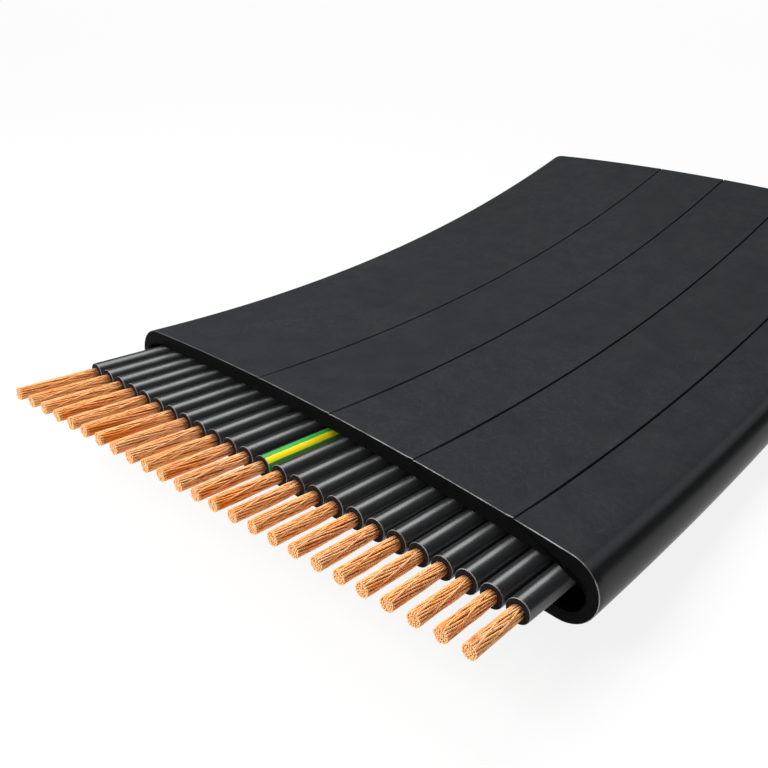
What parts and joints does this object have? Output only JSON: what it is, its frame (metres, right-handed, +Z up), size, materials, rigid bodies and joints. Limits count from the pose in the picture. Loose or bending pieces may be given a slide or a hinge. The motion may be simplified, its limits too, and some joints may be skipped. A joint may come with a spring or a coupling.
{
  "type": "flat electrical cable",
  "caption": "Cut sample of flat multi-core cable: black crowned sheath, one row of black cores with a green-yellow earth core, bare stranded copper ends.",
  "frame": {"origin": "bottom centre of the cable's box, on the surface that it lies on", "axes": "+X across the cable, +Y from the trimmed front to the plain far cut, +Z up"},
  "size_m": [0.1034, 0.1742, 0.0189],
  "materials": {
    "sheath": "matte to satin, very finely scratched",
    "core_insulation": "semi-gloss",
    "earth_insulation": "semi-gloss green with a yellow stripe",
    "copper": "bright fine strands"
  },
  "bodies": {
    "root": {"sheath": "sheath", "insulation_01": "core_insulation", "insulation_02": "core_insulation", "insulation_03": "core_insulation", "insulation_04": "core_insulation", "insulation_05": "core_insulation", "insulation_06": "core_insulation", "insulation_07": "core_insulation", "insulation_08": "core_insulation", "insulation_09": "core_insulation", "insulation_10": "core_insulation", "insulation_11": "core_insulation", "insulation_12": "core_insulation", "earth_insulation": "earth_insulation", "insulation_14": "core_insulation", "insulation_15": "core_insulation", "insulation_16": "core_insulation", "insulation_17": "core_insulation", "insulation_18": "core_insulation", "insulation_19": "core_insulation", "insulation_20": "core_insulation", "insulation_21": "core_insulation", "insulation_22": "core_insulation", "insulation_23": "core_insulation", "insulation_24": "core_insulation", "insulation_25": "core_insulation", "conductor_01": "copper", "conductor_02": "copper", "conductor_03": "copper", "conductor_04": "copper", "conductor_05": "copper", "conductor_06": "copper", "conductor_07": "copper", "conductor_08": "copper", "conductor_09": "copper", "conductor_10": "copper", "conductor_11": "copper", "conductor_12": "copper", "conductor_13": "copper", "conductor_14": "copper", "conductor_15": "copper", "conductor_16": "copper", "conductor_17": "copper", "conductor_18": "copper", "conductor_19": "copper", "conductor_20": "copper", "conductor_21": "copper", "conductor_22": "copper", "conductor_23": "copper", "conductor_24": "copper", "conductor_25": "copper"}
  },
  "joints": []
}
